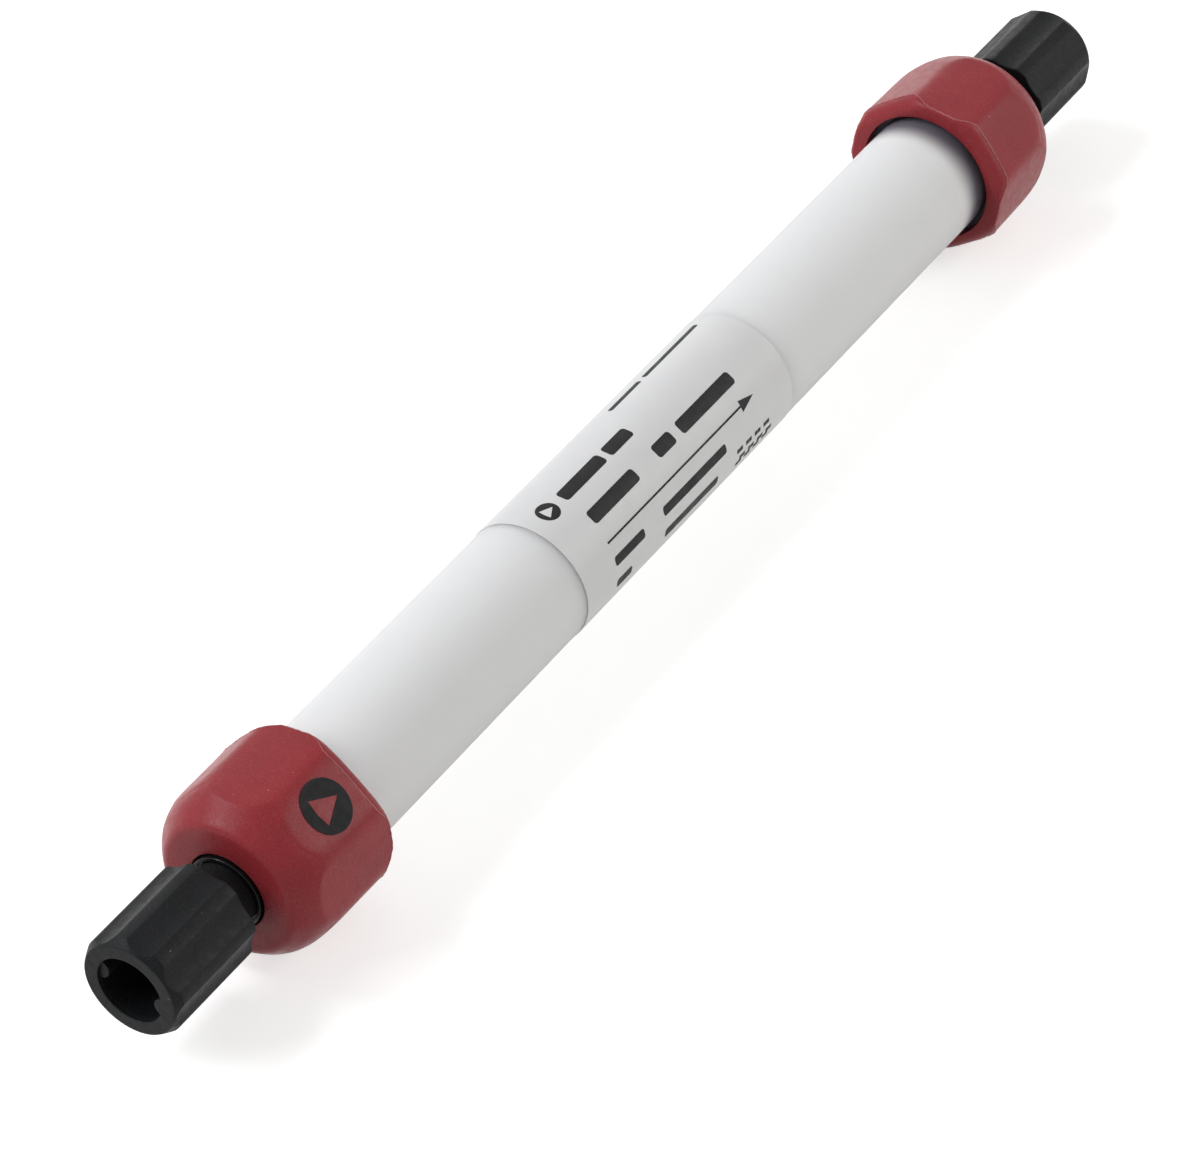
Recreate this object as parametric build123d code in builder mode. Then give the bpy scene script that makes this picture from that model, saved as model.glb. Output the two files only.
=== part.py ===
"""Pre-packed liquid chromatography column: a plastic tube full of resin, closed at each end by a
threaded eight-sided cap that clamps a ported end piece, with a fluted stop plug in each port.

Frame: the origin is on the column's axis at mid-length. +X runs with the flow, from the inlet to
the outlet, and +Z is up when the column lies on a flat of its inlet cap. Distances along the column
are measured outwards from mid-length, so both ends are built from the same numbers.
"""

from build123d import *
from math import asin, cos, degrees, radians, sin
import os

# Driving dimensions, in millimetres and degrees.

# Tube and packed bed
tube_diameter = 12.0
bore_diameter = 7.7
bed_length = 100.0
packing_clearance = 0.01  # the bed and the filters fill the bore

# Threaded joint between tube and cap, drawn at its pitch line
thread_diameter = 13.7
thread_length = 7.0
thread_runout = 0.2
thread_clearance = 0.05

# Filter, and the flow distributor channels behind it
filter_thickness = 1.4
channel_width = 0.5
channel_depth = 0.4
channel_reach = 3.3
channel_count = 6

# End piece: spigot in the bore, flange on the tube's end, boss through the cap's nose
spigot_length = 7.6
spigot_clearance = 0.05
flange_thickness = 1.5
flange_clearance = 0.1
boss_diameter = 6.84
boss_proud = 0.3
rim_width = 0.32
rim_height = 0.3
capillary_diameter = 1.0

# Seal ring and its groove
groove_offset = 1.0
groove_width = 1.3
groove_depth = 0.9
ring_side_clearance = 0.1
ring_squeeze_clearance = 0.01

# Port: threaded hole with a coned seat that narrows to the capillary
port_diameter = 4.82
port_depth = 8.0
port_cone_length = 2.0

# Cap: eight flats, a domed nose and a rolled tube-side lip
cap_length = 11.75
cap_across_flats = 16.0
cap_flats = 8
cap_corner_radius = 3.0
cap_turned_height = 0.5  # turned form above the flats
cap_hole_gap = 0.57
nose_wall = 1.85
nose_hole_gap = 0.16
dome_radius = 7.0
dome_length = 5.15
dome_cones = 2
roll_radius = 1.3

# Stop plug: grip with flutes, neck, threaded shank drawn at its crest line, coned tip
grip_diameter = 9.6
grip_length = 10.4
grip_face_diameter = 8.7
grip_face_bevel = 0.75
flute_count = 8
flute_bottom_diameter = 8.9
flute_cutter_radius = 4.5
neck_diameter = 5.9
neck_gap = 2.35
neck_clearance = 0.1
shank_clearance = 0.06
tip_diameter = 1.4
socket_diameter = 6.18
socket_depth = 7.0
lug_radius = 0.95
lug_tip_gap = 4.4
lug_recess = 0.3

# Label wrapped round the tube
label_length = 34.0
label_gap = 3.4  # bare strip at the back
label_thickness = 0.1
label_centre = -1.25
label_glue_line = 0.01
label_middle_angle = 38.35

# Each end: name, direction along X, the angles of one cap flat, of one cap flat with the long
# rolled lip and of one plug ridge. Angles turn from +Z towards -Y.
ENDS = (
    ("inlet", -1, 0.0, 45.0, -5.65),
    ("outlet", 1, 14.5, 59.5, -11.45),
)

# Radii and stations that follow from them.
tube_radius = tube_diameter / 2
bore_radius = bore_diameter / 2
packed_radius = bore_radius - packing_clearance
thread_radius = thread_diameter / 2
cap_bore_radius = thread_radius + thread_clearance
cap_hole_radius = tube_radius + cap_hole_gap
boss_radius = boss_diameter / 2
port_radius = port_diameter / 2
capillary_radius = capillary_diameter / 2

bed_end = bed_length / 2
spigot_face = bed_end + filter_thickness
tube_end = spigot_face + spigot_length
thread_start = tube_end - thread_length
cap_seat = tube_end + flange_thickness
nose_face = cap_seat + nose_wall
cap_mouth = nose_face - cap_length
boss_face = nose_face + boss_proud
port_seat = boss_face - rim_height
port_bottom = port_seat - port_depth
cone_start = port_bottom + port_cone_length
grip_rear = boss_face + neck_gap
grip_face = grip_rear + grip_length
socket_floor = grip_face - socket_depth


def across(outward, station):
    """Plane square to the column, facing out of this end; its x axis is +Z."""
    return Plane(origin=(outward * station, 0, 0), x_dir=(0, 0, 1), z_dir=(outward, 0, 0))


def lengthwise(outward, angle=0.0):
    """Plane through the axis: local x runs outwards along the column, local y is the radius."""
    side, up = sin(radians(angle)), cos(radians(angle))
    return Plane(origin=(0, 0, 0), x_dir=(outward, 0, 0), z_dir=(0, -outward * up, -outward * side))


os.makedirs("parts", exist_ok=True)

# Tube, with a threaded length at each end.
with BuildPart() as column_tube:
    with BuildSketch(lengthwise(1)):
        with BuildLine():
            Polyline(
                (-tube_end, bore_radius),
                (-tube_end, thread_radius),
                (-thread_start, thread_radius),
                (-thread_start, tube_radius),
                (thread_start, tube_radius),
                (thread_start, thread_radius),
                (tube_end, thread_radius),
                (tube_end, bore_radius),
                close=True,
            )
        make_face()
    revolve(axis=Axis.X)
column_tube.part.label = "column_tube"
export_step(column_tube.part, "parts/column_tube.step")

# Packed bed of resin beads, one block.
with BuildPart() as resin_bed:
    with BuildSketch(across(1, -bed_end)):
        Circle(packed_radius)
    extrude(amount=bed_length)
resin_bed.part.label = "resin_bed"
export_step(resin_bed.part, "parts/resin_bed.step")

# Label: a sheet wrapped nearly all the way round, its gap at the back.
label_radius = tube_radius + label_glue_line
label_outer_radius = label_radius + label_thickness
label_wrap = 360 - degrees(label_gap / label_outer_radius)
with BuildPart() as column_label:
    with BuildSketch(lengthwise(1, label_middle_angle - label_wrap / 2)):
        with Locations((label_centre, label_radius + label_thickness / 2)):
            Rectangle(label_length, label_thickness)
    revolve(axis=Axis.X, revolution_arc=label_wrap)
column_label.part.label = "column_label"
export_step(column_label.part, "parts/column_label.step")

for end_name, outward, flat_angle, rolled_angle, ridge_angle in ENDS:
    # Filter: a sintered disc against the bed.
    with BuildPart() as bed_filter:
        with BuildSketch(across(outward, bed_end)):
            Circle(packed_radius)
        extrude(amount=filter_thickness)
    bed_filter.part.label = end_name + "_filter"
    export_step(bed_filter.part, f"parts/{end_name}_filter.step")

    # End piece: spigot, flange and ported boss, turned in one.
    spigot_radius = bore_radius - spigot_clearance
    groove_start = spigot_face + groove_offset
    groove_end = groove_start + groove_width
    groove_radius = spigot_radius - groove_depth
    with BuildPart() as end_piece:
        with BuildSketch(lengthwise(outward)):
            with BuildLine():
                Polyline(
                    (spigot_face, capillary_radius),
                    (spigot_face, spigot_radius),
                    (groove_start, spigot_radius),
                    (groove_start, groove_radius),
                    (groove_end, groove_radius),
                    (groove_end, spigot_radius),
                    (tube_end, spigot_radius),
                    (tube_end, thread_radius - flange_clearance),
                    (cap_seat, thread_radius - flange_clearance),
                    (cap_seat, boss_radius),
                    (boss_face, boss_radius),
                    (boss_face, boss_radius - rim_width),
                    (port_seat, boss_radius - rim_width),
                    (port_seat, port_radius),
                    (cone_start, port_radius),
                    (port_bottom, capillary_radius),
                    close=True,
                )
            make_face()
        revolve(axis=Axis.X)
        with BuildSketch(across(outward, spigot_face)):
            with PolarLocations(0, channel_count // 2, angular_range=180):
                Rectangle(2 * channel_reach, channel_width)
        extrude(amount=channel_depth, mode=Mode.SUBTRACT)
    end_piece.part.label = end_name + "_end_piece"
    export_step(end_piece.part, f"parts/{end_name}_end_piece.step")

    # Seal ring squeezed between the groove and the bore.
    ring_height = bore_radius - groove_radius - 2 * ring_squeeze_clearance
    ring_width = groove_width - 2 * ring_side_clearance
    with BuildPart() as seal_ring:
        with BuildSketch(lengthwise(outward)):
            with Locations(((groove_start + groove_end) / 2, (bore_radius + groove_radius) / 2)):
                Rectangle(ring_width, ring_height)
        revolve(axis=Axis.X)
    seal_ring.part.label = end_name + "_seal_ring"
    export_step(seal_ring.part, f"parts/{end_name}_seal_ring.step")

    # Cap: turned form with a domed nose, cut by eight flats.
    half_flats = cap_across_flats / 2
    turned_radius = half_flats + cap_turned_height
    dome_start = nose_face - dome_length
    dome_sweep = asin(dome_length / dome_radius)
    nose_hole_radius = boss_radius + nose_hole_gap
    # The dome's arc is turned as a few cones, its end on the nose face.
    dome_angles = [dome_sweep * step / dome_cones for step in range(dome_cones + 1)]
    dome_points = [
        (dome_start + dome_radius * sin(a), turned_radius - dome_radius * (1 - cos(a)))
        for a in dome_angles
    ]
    with BuildPart() as cap:
        with BuildSketch(lengthwise(outward)):
            with BuildLine():
                Polyline(
                    (cap_mouth, cap_hole_radius),
                    (cap_mouth, turned_radius),
                    *dome_points,
                    (nose_face, nose_hole_radius),
                    (cap_seat, nose_hole_radius),
                    (cap_seat, cap_bore_radius),
                    (thread_start - thread_runout, cap_bore_radius),
                    (thread_start - thread_runout, cap_hole_radius),
                    close=True,
                )
            make_face()
        revolve(axis=Axis.X)
        with BuildSketch(across(outward, cap_mouth)) as flats:
            RegularPolygon(
                half_flats,
                cap_flats,
                major_radius=False,
                rotation=outward * flat_angle + 180 / cap_flats,
            )
            fillet(flats.vertices(), cap_corner_radius)
        extrude(amount=cap_length, mode=Mode.INTERSECT)
        # Every other flat rolls over to the tube in a round; the rest end in a plain edge.
        for turn in range(0, 360, 720 // cap_flats):
            with BuildSketch(lengthwise(outward, rolled_angle + turn)):
                with BuildLine():
                    roll = CenterArc(
                        (cap_mouth + roll_radius, half_flats - roll_radius),
                        roll_radius,
                        start_angle=90,
                        arc_size=90,
                    )
                    Polyline(
                        roll @ 1,
                        (cap_mouth - roll_radius, half_flats - roll_radius),
                        (cap_mouth - roll_radius, half_flats + roll_radius),
                        (cap_mouth + roll_radius, half_flats + roll_radius),
                        roll @ 0,
                    )
                make_face()
            extrude(amount=turned_radius, both=True, mode=Mode.SUBTRACT)
    cap.part.label = end_name + "_cap"
    export_step(cap.part, f"parts/{end_name}_cap.step")

    # Stop plug: one moulding, with eight concave flutes and two lugs in its open face.
    grip_radius = grip_diameter / 2
    shank_radius = port_radius - shank_clearance
    # The tip's cone runs beside the port's cone, so its flat end lies where that cone is wider
    # than the tip by the shank's own clearance.
    cone_slope = (port_radius - capillary_radius) / port_cone_length
    tip_end = port_bottom + (tip_diameter / 2 + shank_clearance - capillary_radius) / cone_slope
    neck_start = port_seat + neck_clearance
    neck_radius = neck_diameter / 2
    with BuildPart() as stop_plug:
        with BuildSketch(lengthwise(outward)):
            with BuildLine():
                Polyline(
                    (tip_end, 0),
                    (tip_end, tip_diameter / 2),
                    (cone_start, shank_radius),
                    (neck_start, shank_radius),
                    (neck_start, neck_radius),
                    (grip_rear, neck_radius),
                    (grip_rear, grip_radius),
                    (grip_face - grip_face_bevel, grip_radius),
                    (grip_face, grip_face_diameter / 2),
                    (grip_face, socket_diameter / 2),
                    (socket_floor, socket_diameter / 2),
                    (socket_floor, 0),
                    close=True,
                )
            make_face()
        revolve(axis=Axis.X)
        flute_angle = ridge_angle + 180 / flute_count
        with BuildSketch(across(outward, grip_rear)):
            with PolarLocations(
                flute_bottom_diameter / 2 + flute_cutter_radius,
                flute_count,
                start_angle=outward * flute_angle,
            ):
                Circle(flute_cutter_radius)
        extrude(amount=grip_length, mode=Mode.SUBTRACT)
        with BuildSketch(across(outward, socket_floor)):
            lug_angle = outward * (flute_angle + 90)
            with PolarLocations(lug_tip_gap / 2 + lug_radius, 2, start_angle=lug_angle):
                Circle(lug_radius)
        extrude(amount=socket_depth - lug_recess)
    stop_plug.part.label = end_name + "_stop_plug"
    export_step(stop_plug.part, f"parts/{end_name}_stop_plug.step")
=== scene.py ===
"""Looks of a pre-packed chromatography column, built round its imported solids.

The column lies along X with its inlet at -X. Stations run outwards from mid-length, so both ends
share one set of numbers, and angles go round the axis from +Z towards -Y. Lengths are in
millimetres and angles in degrees until place() turns them into points of the frame, in metres.
"""

from math import radians

import bmesh
import bpy
import numpy as np
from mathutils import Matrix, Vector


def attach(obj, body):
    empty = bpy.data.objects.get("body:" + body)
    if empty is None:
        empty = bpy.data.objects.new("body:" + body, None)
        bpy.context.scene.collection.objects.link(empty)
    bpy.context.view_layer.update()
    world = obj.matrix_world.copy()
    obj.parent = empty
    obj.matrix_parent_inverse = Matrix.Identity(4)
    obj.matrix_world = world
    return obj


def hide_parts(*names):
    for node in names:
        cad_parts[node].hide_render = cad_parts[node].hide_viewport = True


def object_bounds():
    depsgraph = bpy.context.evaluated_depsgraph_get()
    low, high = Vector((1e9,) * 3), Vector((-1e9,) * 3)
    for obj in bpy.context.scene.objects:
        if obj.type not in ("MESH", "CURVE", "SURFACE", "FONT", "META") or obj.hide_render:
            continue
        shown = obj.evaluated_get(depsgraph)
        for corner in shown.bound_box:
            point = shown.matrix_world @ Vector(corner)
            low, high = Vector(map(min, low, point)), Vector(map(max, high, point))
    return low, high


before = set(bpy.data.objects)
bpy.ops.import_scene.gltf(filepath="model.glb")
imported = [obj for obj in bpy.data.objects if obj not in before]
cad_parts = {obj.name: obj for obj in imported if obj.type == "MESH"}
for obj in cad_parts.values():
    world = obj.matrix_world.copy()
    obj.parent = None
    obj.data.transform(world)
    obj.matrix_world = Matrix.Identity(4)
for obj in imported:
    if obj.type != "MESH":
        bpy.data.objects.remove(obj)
cad_low, cad_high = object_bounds()

MM = 0.001
ROUND_RINGS = 7  # rings in one rounding

# Tube
TUBE_RADIUS = 6.0
BORE_RADIUS = 3.85
THREAD_RADIUS = 6.85
THREAD_START = 52.0
TUBE_END = 59.0
TUBE_COLUMNS = 288

# Label and its print
LABEL_INSIDE = 6.01
LABEL_OUTSIDE = 6.07
LABEL_GAP = 3.4
LABEL_START = -18.25
LABEL_END = 15.75
LABEL_MIDDLE = 38.35
LABEL_CORNER = 1.2
INK_FILM = 0.008
INK_SINK = 0.004
TRIANGLE_BASE = 0.5  # of the flow mark's radius, as are the next two
TRIANGLE_LENGTH = 1.15
TRIANGLE_HALF = 0.58
SQUARE_PITCH = 0.5
SQUARE_SIDE = SQUARE_PITCH * 0.94
SQUARE_ROWS = 5
SQUARE_COLUMNS = 12

# Cap
CAP_MOUTH = 50.6
CAP_SEAT = 60.5
NOSE_FACE = 62.35
CAP_HOLE_RADIUS = 6.57
CAP_BORE_RADIUS = 6.9
NOSE_HOLE_RADIUS = 3.58
TURNED_RADIUS = 8.5
DOME_RADIUS = 7.0
DOME_START = 57.2
HALF_FLATS = 8.0
CORNER_SOFTNESS = 0.62
PLAIN_DRAFT = 0.2
LIP_DEPTH = 0.12
LIP_WIDTH = 0.3
ROLL_DEPTH = 1.08
ROLL_WIDTH = 1.0
FLASH_STEP = 0.07
FLASH_HEIGHT = 0.04
FLASH_WAVE = 0.6
LIP_WAVE = 0.035
LIP_RINGS = 12
DOME_RINGS = 14
BLEND_RINGS = 12
BLEND_LENGTH = 2.6
BLEND_SOFTNESS = 0.36
PLAIN_CRISPNESS = 0.3
PLAIN_FADE = (26, 15)  # degrees off a plain flat's middle, between which it fades in
ROLL_FADE = (8, 26)  # degrees off a plain flat's middle, between which the lip rolls over
CAP_THREAD_END = 51.8
CAP_COLUMNS = 480
CAP_MARK_STATION = -55.35
CAP_MARK_RADIUS = 2.4

# End piece and port
SPIGOT_FACE = 51.4
SPIGOT_RADIUS = 3.8
GROOVE_RADIUS = 2.9
GROOVE_START = 52.4
GROOVE_END = 53.7
FLANGE_RADIUS = 6.75
BOSS_RADIUS = 3.42
BOSS_FACE = 62.65
RIM_RADIUS = 3.1
PORT_SEAT = 62.35
PORT_RADIUS = 2.41
CONE_START = 56.35
PORT_BOTTOM = 54.35
CAPILLARY_RADIUS = 0.5
FITTING_COLUMNS = 256

# 10-32 thread of port and plug
PITCH = 25.4 / 32
THREAD_DEPTH = 0.4
THREAD_SLOPE = 1.3
THREAD_CREST = 0.1
THREAD_RELIEF = 0.3

# Stop plug
TIP_END = 54.62
TIP_RADIUS = 0.7
SHANK_RADIUS = 2.35
NECK_START = 62.45
NECK_RADIUS = 2.95
GRIP_REAR = 65.0
GRIP_RADIUS = 4.8
GRIP_FACE = 75.4
GRIP_FACE_RADIUS = 4.35
BEVEL_START = 74.65
FLUTE_COUNT = 8
FLUTE_CUTTER = 4.5
FLUTE_CENTRE = 8.95
SOCKET_RADIUS = 3.09
SOCKET_FLOOR = 68.4
SOCKET_STEP = 0.03
LUG_RADIUS = 0.95
LUG_CENTRE = 3.15
LUG_TOP = 75.1
PLUG_COLUMNS = 384

# Each end: its direction along X, the middle of one cap flat with a rolled lip, and one plug ridge.
ENDS = {"inlet": (-1, 45.0, -5.65), "outlet": (1, 59.5, -11.45)}


def place(outward, station, radius, angle):
    """Points of the frame, in metres, from lengths in millimetres and angles in radians."""
    station, radius, angle = np.broadcast_arrays(station, radius, angle)
    points = [outward * station, -radius * np.sin(angle), radius * np.cos(angle)]
    return np.stack(points, axis=-1) * MM


def around(columns):
    """Angles of evenly spaced columns round the axis, in radians."""
    return np.arange(columns) * 2 * np.pi / columns


def from_nearest(angle, first, count):
    """Signed angle from the nearest of count even directions, the first at first degrees."""
    step = 2 * np.pi / count
    return (angle - radians(first) + step / 2) % step - step / 2


def soft_least(a, b, softness):
    """The smaller of two radii, with the corner between them rounded."""
    return (a + b - np.sqrt((a - b) ** 2 + softness**2)) / 2


def ease(value, start, end):
    """0 up to start, 1 from end on, and a smooth rise between."""
    share = np.clip((value - start) / (end - start), 0, 1)
    return share**2 * (3 - 2 * share)


def wobble(angle, seed):
    """A gentle irregular wave round the axis, between about -1 and 1."""
    random = np.random.default_rng(seed)
    wave = sum(np.sin(k * angle + random.uniform(0, 6.28)) for k in (7, 13, 22, 37, 61, 90))
    return wave / 3


def rings(corners, columns):
    """Stations and radii of the rings along a closed outline, as two arrays of rings by columns.

    A corner is (station, radius, rounding, rings on the run that follows). Its first three values
    may differ from column to column.
    """
    at = np.array([[np.broadcast_to(value, columns) for value in corner[:2]] for corner in corners])
    made = []
    for i, (_, _, rounding, run) in enumerate(corners):
        here, last, following = at[i], at[i - 1], at[(i + 1) % len(at)]
        back = (last - here) / np.linalg.norm(last - here, axis=0)
        ahead = (following - here) / np.linalg.norm(following - here, axis=0)
        steps = np.linspace(0, 1, ROUND_RINGS) if np.max(rounding) > 0 else [0]
        made += [here + rounding * ((1 - t) ** 2 * back + t**2 * ahead) for t in steps]
        leave = here + rounding * ahead
        arrive = following - corners[(i + 1) % len(corners)][2] * ahead
        made += [leave + (arrive - leave) * k / (run + 1) for k in range(1, run + 1)]
    made = np.array(made)
    return made[:, 0], made[:, 1]


def quads(rows, columns, loop_rows, loop_columns):
    """Faces over a grid of points, joined end to end along the ways that loop."""
    index = np.arange(rows * columns).reshape(rows, columns)
    a = index if loop_rows else index[:-1]
    b = np.roll(index, -1, axis=0) if loop_rows else index[1:]
    if loop_columns:
        faces = np.stack([a, np.roll(a, -1, 1), np.roll(b, -1, 1), b], axis=-1)
    else:
        faces = np.stack([a[:, :-1], a[:, 1:], b[:, 1:], b[:, :-1]], axis=-1)
    return faces.reshape(-1, 4).tolist()


def add_piece(name, points, faces, body, slot, material, *nodes, sharp=50):
    """A smooth-shaded mesh that rides on a body and stands for the named nodes."""
    mesh = bpy.data.meshes.new(name)
    mesh.from_pydata(points.reshape(-1, 3).tolist(), [], faces)
    cleaned = bmesh.new()
    cleaned.from_mesh(mesh)
    bmesh.ops.recalc_face_normals(cleaned, faces=cleaned.faces)
    cleaned.to_mesh(mesh)
    cleaned.free()
    mesh.shade_smooth()
    mesh.set_sharp_from_angle(angle=radians(sharp))
    mesh.materials.append(material)
    piece = bpy.data.objects.new(name, mesh)
    bpy.context.scene.collection.objects.link(piece)
    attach(piece, body)
    if nodes:
        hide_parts(*nodes)
    return piece


def thread_groove(station, outward, angle):
    """Depth of a right-hand thread, from 0 at its crest to 1 at its root."""
    turn = (outward * station / PITCH - angle / (2 * np.pi)) % 1
    return np.clip(THREAD_SLOPE * (1 - np.abs(2 * turn - 1)) - THREAD_CREST, 0, 1)


# ---------------------------------------------------------------- materials


def new_material(name, **constants):
    """A node material with its constant values set on the shader's own sockets."""
    material = bpy.data.materials.new(name)
    material.use_nodes = True
    shader = material.node_tree.nodes["Principled BSDF"]
    for socket, value in constants.items():
        shader.inputs[socket.replace("_", " ")].default_value = value
    return material, material.node_tree, shader


def noise(tree, scale, detail=2.0):
    """A noise texture in the frame's metres. A scale of 1000 has lumps of about a millimetre."""
    coordinates = tree.nodes.new("ShaderNodeTexCoord")
    node = tree.nodes.new("ShaderNodeTexNoise")
    node.inputs["Scale"].default_value = scale
    node.inputs["Detail"].default_value = detail
    tree.links.new(coordinates.outputs["Object"], node.inputs["Vector"])
    return node.outputs["Fac"]


def spread(tree, value, low, high, source=(0.35, 0.65)):
    """A value stretched from the source range to low and high."""
    node = tree.nodes.new("ShaderNodeMapRange")
    node.inputs["From Min"].default_value, node.inputs["From Max"].default_value = source
    node.inputs["To Min"].default_value = low
    node.inputs["To Max"].default_value = high
    tree.links.new(value, node.inputs["Value"])
    return node.outputs["Result"]


def blend_colours(tree, factor, first, second):
    """A mix of two colours, either of which may be a socket."""
    node = tree.nodes.new("ShaderNodeMix")
    node.data_type = "RGBA"
    tree.links.new(factor, node.inputs["Factor"])
    for socket, colour in ((node.inputs["A"], first), (node.inputs["B"], second)):
        if isinstance(colour, tuple):
            socket.default_value = (*colour, 1)
        else:
            tree.links.new(colour, socket)
    return [o for o in node.outputs if o.type == "RGBA"][0]


def bump(tree, shader, layers):
    """Stacked bumps: each layer is (height socket, depth in metres)."""
    normal = None
    for height, depth in layers:
        node = tree.nodes.new("ShaderNodeBump")
        node.inputs["Distance"].default_value = depth
        tree.links.new(height, node.inputs["Height"])
        if normal:
            tree.links.new(normal, node.inputs["Normal"])
        normal = node.outputs["Normal"]
    tree.links.new(normal, shader.inputs["Normal"])


def moulded(name, dark, light, roughness, grain, lumps=0.00002, **constants):
    """Moulded plastic: faintly cloudy colour, uneven gloss, and a fine grain on a wavy skin."""
    material, tree, shader = new_material(name, **constants)
    cloud = spread(tree, noise(tree, 260, 3), 0, 1)
    tree.links.new(blend_colours(tree, cloud, dark, light), shader.inputs["Base Color"])
    tree.links.new(spread(tree, noise(tree, 1400, 4), *roughness), shader.inputs["Roughness"])
    fine, coarse = noise(tree, 7000, 2), noise(tree, 500, 1)
    bump(tree, shader, [(coarse, lumps), (fine, grain)])
    return material


def specked(material, colour, amount, scale, source):
    """Adds specks of another colour to a moulded plastic."""
    tree = material.node_tree
    shader = tree.nodes["Principled BSDF"]
    below = shader.inputs["Base Color"].links[0].from_socket
    specks = spread(tree, noise(tree, scale, 0), 0, amount, source)
    tree.links.new(blend_colours(tree, specks, below, colour), shader.inputs["Base Color"])
    return material


def paint_mouth_shadow(material, outward, start, end, colour):
    """Darkens the wall's colour towards one end: painted shadow where the cap's lip shades the tube
    at its mouth.
    """
    tree = material.node_tree
    shader = tree.nodes["Principled BSDF"]
    below = shader.inputs["Base Color"].links[0].from_socket
    coordinates = tree.nodes.new("ShaderNodeTexCoord")
    axes = tree.nodes.new("ShaderNodeSeparateXYZ")
    tree.links.new(coordinates.outputs["Object"], axes.inputs["Vector"])
    shade = spread(tree, axes.outputs["X"], 0, 1, (outward * start * MM, outward * end * MM))
    shade.node.interpolation_type = "SMOOTHSTEP"
    tree.links.new(blend_colours(tree, shade, below, colour), shader.inputs["Base Color"])
    return material


SOFT_WHITE = (1.0, 0.97, 0.94)  # how far each colour goes inside a translucent white
# colour of the painted shadow on the tube near the cap mouths
PAINTED_MOUTH_SHADOW = (0.16, 0.15, 0.18)
DUST = (0.84, 0.92)  # noise values between which sparse specks fade in
GRAIN = (0.5, 0.75)  # the same for a dense fine grain


def bead_bed(name):
    """Packed beads: a pale bed with a fine cell pattern."""
    material, tree, shader = new_material(
        name,
        Roughness=0.6,
        Subsurface_Weight=1.0,
        Subsurface_Radius=SOFT_WHITE,
        Subsurface_Scale=0.008,
    )
    coordinates = tree.nodes.new("ShaderNodeTexCoord")
    cells = tree.nodes.new("ShaderNodeTexVoronoi")
    cells.inputs["Scale"].default_value = 6000
    tree.links.new(coordinates.outputs["Object"], cells.inputs["Vector"])
    shade = spread(tree, cells.outputs["Distance"], 0, 1, source=(0, 0.7))
    colour = blend_colours(tree, shade, (0.93, 0.93, 0.91), (0.86, 0.86, 0.84))
    tree.links.new(colour, shader.inputs["Base Color"])
    bump(tree, shader, [(cells.outputs["Distance"], -0.00004)])
    return material


tube_plastic = moulded(
    "tube_plastic", (0.935, 0.937, 0.93), (0.95, 0.95, 0.942), (0.45, 0.55), 0.000004,
    Subsurface_Weight=1.0, Subsurface_Radius=SOFT_WHITE, Subsurface_Scale=0.004,
    Specular_IOR_Level=0.2,
)
# Painted shadow: the tube's colour darkens towards each cap's mouth, over a longer stretch at the
# outlet end.
tube_plastic = paint_mouth_shadow(tube_plastic, 1, 47.0, 50.2, PAINTED_MOUTH_SHADOW)
tube_plastic = paint_mouth_shadow(tube_plastic, -1, 49.6, 51.6, PAINTED_MOUTH_SHADOW)
label_film = moulded(
    "label_film", (0.87, 0.872, 0.876), (0.89, 0.892, 0.895), (0.38, 0.48), 0.000003, 0.00001,
    Subsurface_Weight=0.25, Subsurface_Radius=(1.0, 1.0, 1.0), Subsurface_Scale=0.001,
)
red_plastic = moulded(
    "red_cap_plastic", (0.28, 0.025, 0.031), (0.31, 0.028, 0.035), (0.3, 0.4), 0.000024,
    Specular_IOR_Level=0.18,
)
red_plastic = specked(red_plastic, (0.38, 0.11, 0.12), 0.25, 9000, GRAIN)
red_plastic = specked(red_plastic, (0.75, 0.5, 0.5), 0.25, 3400, DUST)
black_plastic = moulded(
    "black_plug_plastic", (0.006, 0.0065, 0.007), (0.009, 0.0095, 0.0105), (0.4, 0.52), 0.000018,
    Specular_IOR_Level=0.12,
)
black_plastic = specked(black_plastic, (0.03, 0.032, 0.036), 0.4, 9000, GRAIN)
black_plastic = specked(black_plastic, (0.4, 0.4, 0.4), 0.25, 3400, DUST)
fitting_plastic = moulded(
    "black_fitting_plastic", (0.005, 0.0052, 0.0056), (0.008, 0.0082, 0.0086), (0.2, 0.32),
    0.000006, Specular_IOR_Level=0.35,
)
ink = moulded(
    "label_ink", (0.012, 0.012, 0.012), (0.016, 0.016, 0.016), (0.45, 0.6), 0.000002,
    Specular_IOR_Level=0.2,
)
cap_ink = moulded(
    "cap_ink", (0.01, 0.0105, 0.011), (0.014, 0.0145, 0.015), (0.42, 0.52), 0.00001,
    Specular_IOR_Level=0.1,
)
# The flash's pale pink colour is a painted highlight along the thin ridge, much lighter than the
# cap's red.
cap_flash_painted_highlight = moulded(
    "cap_flash_painted_highlight", (0.34, 0.07, 0.08), (0.5, 0.16, 0.17), (0.3, 0.4), 0.00001,
    Specular_IOR_Level=0.3,
)
seal_rubber = moulded(
    "seal_rubber", (0.01, 0.01, 0.01), (0.016, 0.016, 0.016), (0.5, 0.65), 0.00001
)
filter_plastic = moulded(
    "sintered_filter", (0.75, 0.75, 0.72), (0.88, 0.88, 0.86), (0.7, 0.85), 0.00006
)
resin = bead_bed("resin")


# ---------------------------------------------------------------- tube and label


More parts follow.
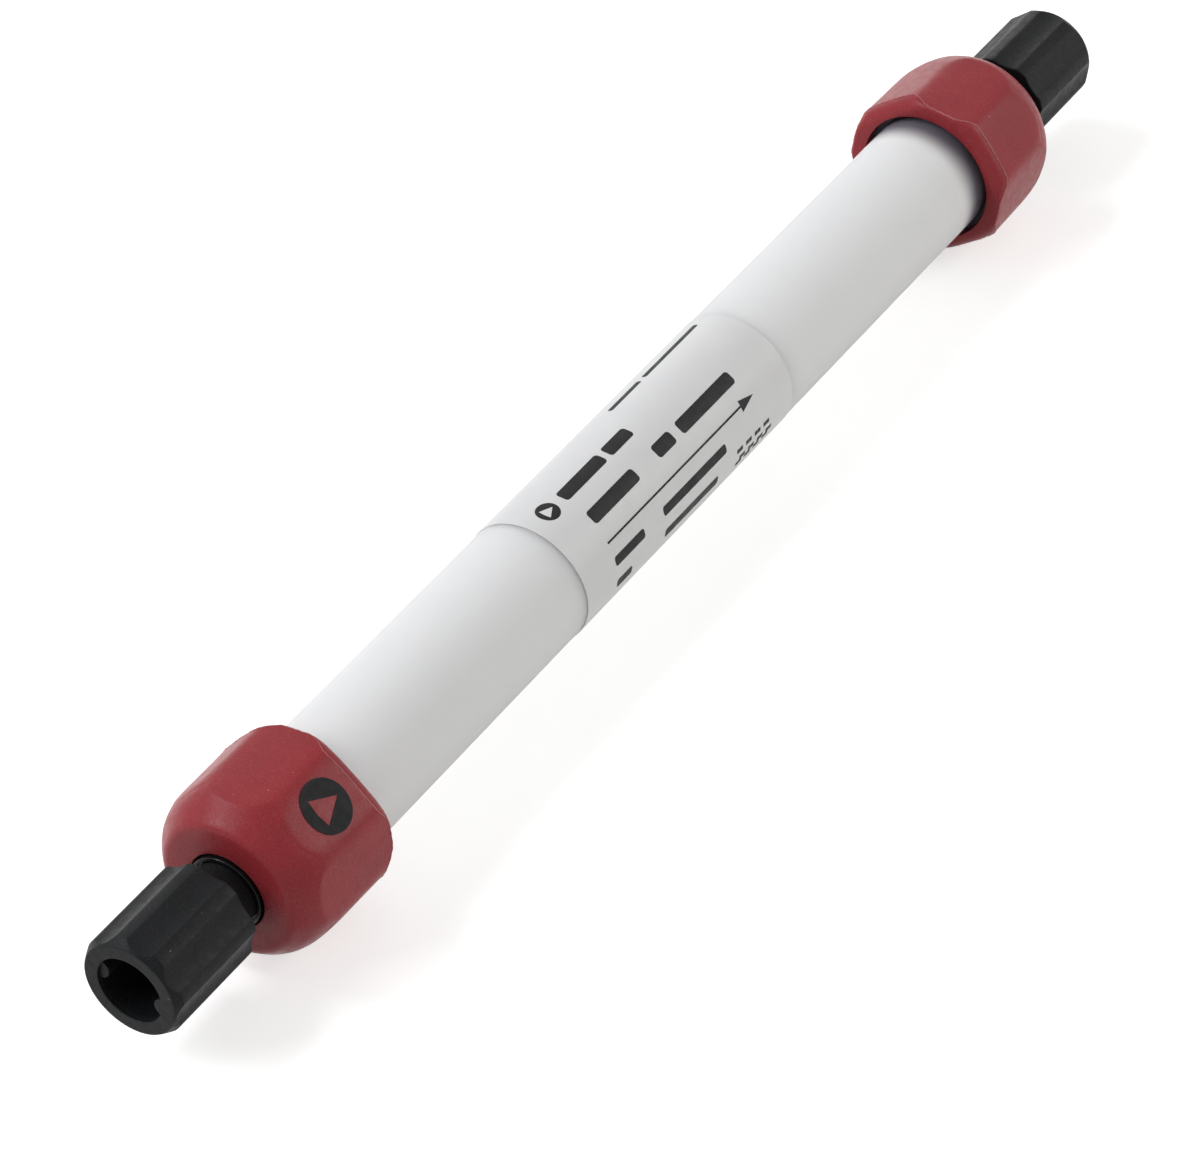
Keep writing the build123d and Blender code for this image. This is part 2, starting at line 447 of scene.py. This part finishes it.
def make_tube():
    """White moulded tube with a threaded length at each end."""
    corners = []
    for outward in (1, -1):
        half = [
            (TUBE_RADIUS, THREAD_START, 0.1, 1),
            (THREAD_RADIUS, THREAD_START, 0.15, 2),
            (THREAD_RADIUS, TUBE_END, 0.25, 2),
            (BORE_RADIUS, TUBE_END, 0.15, 6),
        ]
        for radius, station, rounding, run in half[::outward]:
            corners.append((outward * station, radius, rounding, run))
    station, radius = rings(corners, TUBE_COLUMNS)
    points = place(1, station, radius, around(TUBE_COLUMNS))
    faces = quads(*station.shape, True, True)
    add_piece("tube_body", points, faces, "column", "tube_plastic", tube_plastic, "column_tube")


def patch(inside, outside):
    """Points and faces of a thin closed patch between two grids of points."""
    rows, columns = inside.shape[:2]
    count = rows * columns
    sheet = np.array(quads(rows, columns, False, False))
    index = np.arange(count).reshape(rows, columns)
    rim = np.concatenate([index[0], index[1:, -1], index[-1, -2::-1], index[-2:0:-1, 0]])
    after = np.roll(rim, -1)
    sides = np.stack([rim, after, after + count, rim + count], axis=-1)
    points = np.concatenate([inside.reshape(-1, 3), outside.reshape(-1, 3)])
    return points, np.concatenate([sheet, sheet + count, sides]).tolist()


def corner_inset(distance, corner):
    """How far an edge draws in near the end of a shape with rounded corners of that radius."""
    inside = np.clip(corner - distance, 0, corner)
    return corner - np.sqrt(corner**2 - inside**2)


def make_label():
    """White film wrapped nearly all the way round, with rounded corners at the open seam."""
    half_wrap = np.pi - LABEL_GAP / LABEL_OUTSIDE / 2
    reach = half_wrap * LABEL_OUTSIDE
    fine = LABEL_CORNER * np.linspace(0, 1, 9)[:-1] ** 2
    middle = np.linspace(LABEL_CORNER, 2 * reach - LABEL_CORNER, 280)
    across = np.concatenate([fine, middle, (2 * reach - fine)[::-1]])
    distance = np.minimum(across, 2 * reach - across)
    inset = corner_inset(distance, LABEL_CORNER)
    share = np.linspace(0, 1, 36)[:, None]
    station = (LABEL_START + inset) * (1 - share) + (LABEL_END - inset) * share
    angle = np.broadcast_to(radians(LABEL_MIDDLE) + (across - reach) / LABEL_OUTSIDE, station.shape)
    points, faces = patch(*[place(1, station, r, angle) for r in (LABEL_INSIDE, LABEL_OUTSIDE)])
    add_piece("label_sheet", points, faces, "column", "label_film", label_film, "column_label")


# Print shapes are (stations, low edge, high edge). Places round the axis are in millimetres of arc
# from the middle of the label or of a cap's flat, and grow downwards in reading order.


def bar(start, end, middle, height, corner):
    """A bar with rounded corners."""
    length = end - start
    fine = corner * np.linspace(0, 1, 7)[:-1] ** 2
    along = np.concatenate([fine, np.linspace(corner, length - corner, 6), (length - fine)[::-1]])
    half = height / 2 - corner_inset(np.minimum(along, length - along), corner)
    return start + along, middle - half, middle + half


def arrow_head(start, end, middle, half):
    """A triangle that points to its end station."""
    share = np.linspace(0, 1, 8)
    reach = half * (1 - share) + 0.01
    return start + share * (end - start), middle - reach, middle + reach


def flow_mark(centre, middle, radius):
    """A disc, in two halves, round a bare triangle that points with the flow."""
    along = -radius * np.cos(np.linspace(0.04, np.pi - 0.04, 41))
    disc = np.sqrt(radius**2 - along**2)
    # The triangle's share of its own length, from its base behind the centre to its tip.
    share = (along / radius + TRIANGLE_BASE) / TRIANGLE_LENGTH
    gap = np.where((share > 0) & (share < 1), TRIANGLE_HALF * radius * (1 - share), 0)
    return [
        (centre + along, middle - disc, middle - gap),
        (centre + along, middle + gap, middle + disc),
    ]


def make_print(name, shapes, surface, material, slot):
    """Thin ink shapes on a surface, which turns stations, arcs and a height into points."""
    points, faces, used = [], [], 0
    for along, low, high in shapes:
        share = np.linspace(0, 1, 7)[:, None]
        arc = low + share * (high - low)
        station = np.broadcast_to(along, arc.shape)
        more, sides = patch(*[surface(station, arc, height) for height in (-INK_SINK, INK_FILM)])
        points.append(more)
        faces += [[i + used for i in face] for face in sides]
        used += len(more)
    add_piece(name, np.concatenate(points), faces, "column", slot, material)


def on_label(station, arc, height):
    """Points on the label, from a station along the flow and an arc from the label's middle."""
    angle = radians(LABEL_MIDDLE) + arc / LABEL_OUTSIDE
    return place(1, station, LABEL_OUTSIDE + height, angle)


def label_shapes():
    """Plain bars in place of lines, a flow mark, a flow arrow and a pattern of squares."""
    lines = (
        # middle, height and corner of each line, then the start and end of its bars
        (-6.7, 0.62, 0.2, (-0.3, 4.6), (5.3, 14.1)),
        (-3.2, 1.35, 0.35, (-13.3, -6.9), (-6.2, -2.6)),
        (0.0, 1.35, 0.35, (-13.4, -6.2), (-3.0, -0.2), (0.9, 9.6)),
        (4.5, 0.95, 0.28, (-13.6, -8.9), (-5.8, 4.6)),
        (6.9, 0.95, 0.28, (-13.6, -11.2), (-5.8, 3.0)),
    )
    shapes = [
        bar(start, end, middle, height, corner)
        for middle, height, corner, *bars in lines
        for start, end in bars
    ]
    shapes.append(bar(-13.6, 8.4, 2.57, 0.2, 0.05))
    shapes.append(arrow_head(8.3, 10.4, 2.57, 0.56))
    shapes += flow_mark(-15.45, -3.2, 1.12)
    for row in range(SQUARE_ROWS):
        for column in range(SQUARE_COLUMNS):
            if (row * row + 2 * column + row * column) % 3 != 1:
                start, middle = 6.2 + column * SQUARE_PITCH, 6.1 + row * SQUARE_PITCH
                shapes.append(bar(start, start + SQUARE_SIDE, middle, SQUARE_SIDE, 0.04))
    return shapes


def on_inlet_cap(station, across, height):
    """Points on the inlet cap's printed flat, from a station along the flow."""
    turn = np.arctan2(across, HALF_FLATS)
    return place(1, station, (HALF_FLATS + height) / np.cos(turn), radians(ENDS["inlet"][1]) + turn)


# ---------------------------------------------------------------- caps


def eight_sides(angle, rolled, draw_in):
    """Radius of the cap's outline, whose plain flats draw in by draw_in, with rounded corners."""
    rolled_flats = HALF_FLATS / np.cos(from_nearest(angle, rolled, 4))
    plain_flats = (HALF_FLATS - draw_in) / np.cos(from_nearest(angle, rolled + 45, 4))
    return soft_least(rolled_flats, plain_flats, CORNER_SOFTNESS)


def make_cap(end):
    """Red cap: domed nose, eight flats, and a lip that rolls over on every other flat."""
    outward, rolled, _ = ENDS[end]
    angle = around(CAP_COLUMNS)
    side = eight_sides(angle, rolled, 0)
    off_plain = np.degrees(np.abs(from_nearest(angle, rolled + 45, 4)))
    plain = ease(off_plain, *PLAIN_FADE)

    # The dome runs into the flats: crisply on the plain ones, which taper in a little to meet it,
    # and softly on the others. Its rings crowd together where the two meet.
    dome_centre = TURNED_RADIUS - DOME_RADIUS
    reach = (eight_sides(angle, rolled, PLAIN_DRAFT) - dome_centre) / DOME_RADIUS
    meet = DOME_START + DOME_RADIUS * np.sqrt(1 - reach**2)
    steps = [
        (NOSE_FACE + (meet - NOSE_FACE) * (1 - (1 - t) ** 1.5), 1)
        for t in np.linspace(0, 1, DOME_RINGS)
    ]
    steps += [(meet - BLEND_LENGTH * t**1.6, 1 - t) for t in np.linspace(0, 1, BLEND_RINGS)[1:]]
    outside = []
    for station, nearness in steps:
        dome = dome_centre + np.sqrt(DOME_RADIUS**2 - np.maximum(station - DOME_START, 0) ** 2)
        draw_in = PLAIN_DRAFT * (station - CAP_MOUTH) / (meet - CAP_MOUTH)
        softness = (BLEND_SOFTNESS - PLAIN_CRISPNESS * plain) * nearness
        outside.append((station, soft_least(dome, eight_sides(angle, rolled, draw_in), softness)))

    # The lip's roll to the mouth, and the flash along its edge.
    roll = ease(off_plain, *ROLL_FADE)
    depth = LIP_DEPTH + ROLL_DEPTH * roll + LIP_WAVE * wobble(angle, 3 + outward)
    width = LIP_WIDTH + ROLL_WIDTH * roll
    lip = []
    for share in np.linspace(0, 1, LIP_RINGS):
        turn = share * np.pi / 2
        drop = width * (1 - np.cos(turn)) + FLASH_STEP * (1 - share)
        lip.append((CAP_MOUTH + depth * (1 - np.sin(turn)), side - drop, 0, 0))
    corners = [
        (NOSE_FACE, NOSE_HOLE_RADIUS, 0.12, 3),
        (*outside[0], 0.5, 0),  # this rounding takes the place of the rings next to it
        *[(*point, 0, 0) for point in outside[4:-1]],
        (*outside[-1], 0, 10),
        (CAP_MOUTH + depth + 0.06, side, 0.02, 0),
        *lip,
        (CAP_MOUTH, CAP_HOLE_RADIUS, 0.04, 2),
        (CAP_THREAD_END, CAP_HOLE_RADIUS, 0.05, 1),
        (CAP_THREAD_END, CAP_BORE_RADIUS, 0.05, 6),
        (CAP_SEAT, CAP_BORE_RADIUS, 0.1, 3),
        (CAP_SEAT, NOSE_HOLE_RADIUS, 0.1, 2),
    ]
    station, radius = rings(corners, CAP_COLUMNS)
    points = place(outward, station, radius, angle)
    faces = quads(*station.shape, True, True)
    add_piece(
        end + "_cap_shell", points, faces, "column", "red_cap_plastic", red_plastic, end + "_cap"
    )

    # The flash itself: a thin uneven thread of plastic that stands up along the lip's edge,
    # coloured lighter than the cap as a painted highlight.
    height = FLASH_HEIGHT * (1 + FLASH_WAVE * wobble(angle, 8 + outward))
    edge = CAP_MOUTH + depth
    thread = [
        (edge + 0.12, side - 0.03, 0, 0),
        (edge + 0.08, side + height, 0.01, 0),
        (edge + 0.02, side + height, 0.01, 0),
        (edge - 0.02, side - FLASH_STEP - 0.03, 0, 0),
    ]
    station, radius = rings(thread, CAP_COLUMNS)
    points = place(outward, station, radius, angle)
    faces = quads(*station.shape, True, True)
    add_piece(end + "_cap_flash_painted_highlight", points, faces, "column", "red_cap_plastic", cap_flash_painted_highlight)


# ---------------------------------------------------------------- end pieces and plugs


def make_end_piece(end):
    """Black end piece: spigot, flange, and a boss whose port has a 10-32 thread."""
    outward = ENDS[end][0]
    angle = around(FITTING_COLUMNS)
    corners = [
        (BOSS_FACE, BOSS_RADIUS, 0.06, 1),
        (BOSS_FACE, RIM_RADIUS, 0.06, 1),
        (PORT_SEAT, RIM_RADIUS, 0.06, 1),
        (PORT_SEAT, PORT_RADIUS, 0.1, 70),
        (CONE_START, PORT_RADIUS, 0.1, 3),
        (PORT_BOTTOM, CAPILLARY_RADIUS, 0.1, 3),
        (SPIGOT_FACE, CAPILLARY_RADIUS, 0.05, 3),
        (SPIGOT_FACE, SPIGOT_RADIUS, 0.15, 1),
        (GROOVE_START, SPIGOT_RADIUS, 0.05, 1),
        (GROOVE_START, GROOVE_RADIUS, 0.05, 1),
        (GROOVE_END, GROOVE_RADIUS, 0.05, 1),
        (GROOVE_END, SPIGOT_RADIUS, 0.05, 2),
        (TUBE_END, SPIGOT_RADIUS, 0.05, 1),
        (TUBE_END, FLANGE_RADIUS, 0.1, 1),
        (CAP_SEAT, FLANGE_RADIUS, 0.1, 1),
        (CAP_SEAT, BOSS_RADIUS, 0.05, 2),
    ]
    station, radius = rings(corners, FITTING_COLUMNS)
    in_port = np.abs(radius - PORT_RADIUS) < 0.001
    in_port &= (station > CONE_START) & (station < PORT_SEAT)
    fade = np.clip((PORT_SEAT - station) / PITCH, 0, 1)
    groove = thread_groove(station, outward, angle)
    radius = np.where(in_port, radius - THREAD_DEPTH * groove * fade, radius)
    points = place(outward, station, radius, angle)
    faces = quads(*station.shape, True, True)
    add_piece(
        end + "_port_fitting", points, faces, "column", "black_fitting_plastic", fitting_plastic,
        end + "_end_piece",
    )


def make_plug(end):
    """Black stop plug: fluted grip with a lugged socket, neck, threaded shank and coned tip."""
    outward, _, ridge = ENDS[end]
    angle = around(PLUG_COLUMNS)
    flute = ridge + 180 / FLUTE_COUNT
    turn = from_nearest(angle, flute, FLUTE_COUNT)
    reach = np.maximum(FLUTE_CUTTER**2 - (FLUTE_CENTRE * np.sin(turn)) ** 2, 0)
    hollow = FLUTE_CENTRE * np.cos(turn) - np.sqrt(reach)
    grip = soft_least(GRIP_RADIUS, hollow, 0.04)
    slope = (GRIP_RADIUS - GRIP_FACE_RADIUS) / (GRIP_FACE - BEVEL_START)
    bevel = GRIP_FACE - (grip - GRIP_FACE_RADIUS) / slope
    lug_turn = np.abs(from_nearest(angle, flute + 90, 2))
    chord = LUG_RADIUS**2 - (LUG_CENTRE * np.sin(lug_turn)) ** 2
    on_lug = (chord > 0) & (lug_turn < np.pi / 4)
    wall = SOCKET_RADIUS - SOCKET_STEP
    lug = LUG_CENTRE * np.cos(lug_turn) - np.sqrt(np.maximum(chord, 0))
    lug = np.minimum(np.where(on_lug, lug, wall), wall)
    corners = [
        (TIP_END, 0.02, 0, 1),
        (TIP_END, TIP_RADIUS, 0.15, 3),
        (CONE_START, SHANK_RADIUS, 0.15, 70),
        (NECK_START, SHANK_RADIUS, 0.05, 0),
        (NECK_START, NECK_RADIUS, 0.1, 3),
        (GRIP_REAR, NECK_RADIUS, 0.5, 3),
        (GRIP_REAR, grip, 0.18, 12),
        (bevel, grip, 0.04, 3),
        (GRIP_FACE, GRIP_FACE_RADIUS, 0.06, 3),
        (GRIP_FACE, SOCKET_RADIUS, 0.08, 1),
        (LUG_TOP, SOCKET_RADIUS, 0, 1),
        (LUG_TOP, lug, 0.02, 8),
        (SOCKET_FLOOR, lug, 0.02, 5),
        (SOCKET_FLOOR, 0.02, 0, 0),
    ]
    station, radius = rings(corners, PLUG_COLUMNS)
    ends_open = len(station)
    on_shank = np.abs(radius - SHANK_RADIUS) < 0.001
    on_shank &= (station > CONE_START) & (station < NECK_START)
    fade = np.clip((NECK_START - THREAD_RELIEF - station) / PITCH, 0, 1)
    groove = thread_groove(station, outward, angle)
    radius = np.where(on_shank, radius - THREAD_DEPTH * groove * fade, radius)
    points = place(outward, station, radius, angle).reshape(-1, 3)
    faces = quads(*station.shape, False, True)
    first, last = len(points), (ends_open - 1) * PLUG_COLUMNS
    tip, floor = place(outward, TIP_END, 0, 0), place(outward, SOCKET_FLOOR, 0, 0)
    points = np.concatenate([points, [tip, floor]])
    for i in range(PLUG_COLUMNS):
        j = (i + 1) % PLUG_COLUMNS
        faces.append([i, j, first])
        faces.append([last + i, last + j, first + 1])
    add_piece(
        end + "_plug_body", points, faces, end + "_plug", "black_plug_plastic", black_plastic,
        end + "_stop_plug",
    )


make_tube()
make_label()
make_print("label_print", label_shapes(), on_label, ink, "label_film")
make_print(
    "cap_print", flow_mark(CAP_MARK_STATION, 0, CAP_MARK_RADIUS), on_inlet_cap, cap_ink,
    "red_cap_plastic",
)
for end_name in ENDS:
    make_cap(end_name)
    make_end_piece(end_name)
    make_plug(end_name)

# The solids that stay are inside the column.
for node, material in (
    ("resin_bed", resin),
    ("inlet_filter", filter_plastic),
    ("outlet_filter", filter_plastic),
    ("inlet_seal_ring", seal_rubber),
    ("outlet_seal_ring", seal_rubber),
):
    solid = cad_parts[node]
    solid.data.materials.clear()
    solid.data.materials.append(material)

# ---------------------------------------------------------------- stage, light and camera

FLOOR_REACH = 2.5
FLOOR_LIFT = 0.62  # what the floor adds to what lights it, where it is seen directly
WORLD_LIGHT = 0.25  # how much the white surroundings light the object
COOL = (0.965, 0.975, 1.0)
WARM = (1.0, 0.985, 0.955)


def seen_directly(tree):
    """1 for rays that the camera, a reflection or a clear material sends, and 0 for the rest."""
    path = tree.nodes.new("ShaderNodeLightPath")
    total = path.outputs["Is Camera Ray"]
    for name in ("Is Glossy Ray", "Is Transmission Ray"):
        largest = tree.nodes.new("ShaderNodeMath")
        largest.operation = "MAXIMUM"
        tree.links.new(total, largest.inputs[0])
        tree.links.new(path.outputs[name], largest.inputs[1])
        total = largest.outputs[0]
    return total


def make_floor(height):
    """A plain pale floor that reads white and keeps the object's shadow."""
    mesh = bpy.data.meshes.new("floor")
    r = FLOOR_REACH
    corners = [(-r, -r, height), (r, -r, height), (r, r, height), (-r, r, height)]
    mesh.from_pydata(corners, [], [(0, 1, 2, 3)])
    floor = bpy.data.objects.new("floor", mesh)
    bpy.context.scene.collection.objects.link(floor)
    material, tree, shader = new_material("floor_paper", Roughness=0.9)
    shader.inputs["Specular IOR Level"].default_value = 0.1
    shade = spread(tree, noise(tree, 60, 3), 0, 1)
    colour = blend_colours(tree, shade, (0.75, 0.747, 0.736), (0.77, 0.767, 0.755))
    tree.links.new(colour, shader.inputs["Base Color"])
    shader.inputs["Emission Color"].default_value = (1, 1, 1, 1)
    lift = spread(tree, seen_directly(tree), 0, FLOOR_LIFT, source=(0, 1))
    tree.links.new(lift, shader.inputs["Emission Strength"])
    mesh.materials.append(material)


world = bpy.data.worlds.new("studio")
world.use_nodes = True
bpy.context.scene.world = world
background = world.node_tree.nodes["Background"]
background.inputs["Color"].default_value = (1, 1, 1, 1)
lit = spread(world.node_tree, seen_directly(world.node_tree), WORLD_LIGHT, 1.0, source=(0, 1))
world.node_tree.links.new(lit, background.inputs["Strength"])

make_floor(cad_low.z)


def area_light(name, position, size, power, colour):
    """A square soft light aimed at the object."""
    lamp = bpy.data.lights.new(name, "AREA")
    lamp.shape = "SQUARE"
    lamp.size = size
    lamp.energy = power
    lamp.color = colour
    light = bpy.data.objects.new(name, lamp)
    light.location = position
    light.rotation_euler = light.location.to_track_quat("Z", "Y").to_euler()
    bpy.context.scene.collection.objects.link(light)


area_light("key", (-0.45, 0.35, 0.45), 0.3, 2.0, COOL)
area_light("back", (-0.1, 0.4, 0.55), 0.22, 1.5, COOL)
area_light("right", (0.6, 0.4, 0.15), 0.35, 0.6, WARM)
area_light("front", (0.35, -0.5, 0.3), 0.35, 1.6, WARM)

camera = bpy.data.objects.new("camera", bpy.data.cameras.new("camera"))
camera.location = (-0.27885574748, -0.19939764568, 0.25202871592)
camera.rotation_euler = [radians(a) for a in (52.2892236, 5.11058048, -57.59124587)]
camera.data.lens = 145.51
camera.data.sensor_width = 36
camera.data.sensor_fit = "HORIZONTAL"
bpy.context.scene.collection.objects.link(camera)
bpy.context.scene.camera = camera
bpy.context.scene.view_settings.view_transform = "Standard"
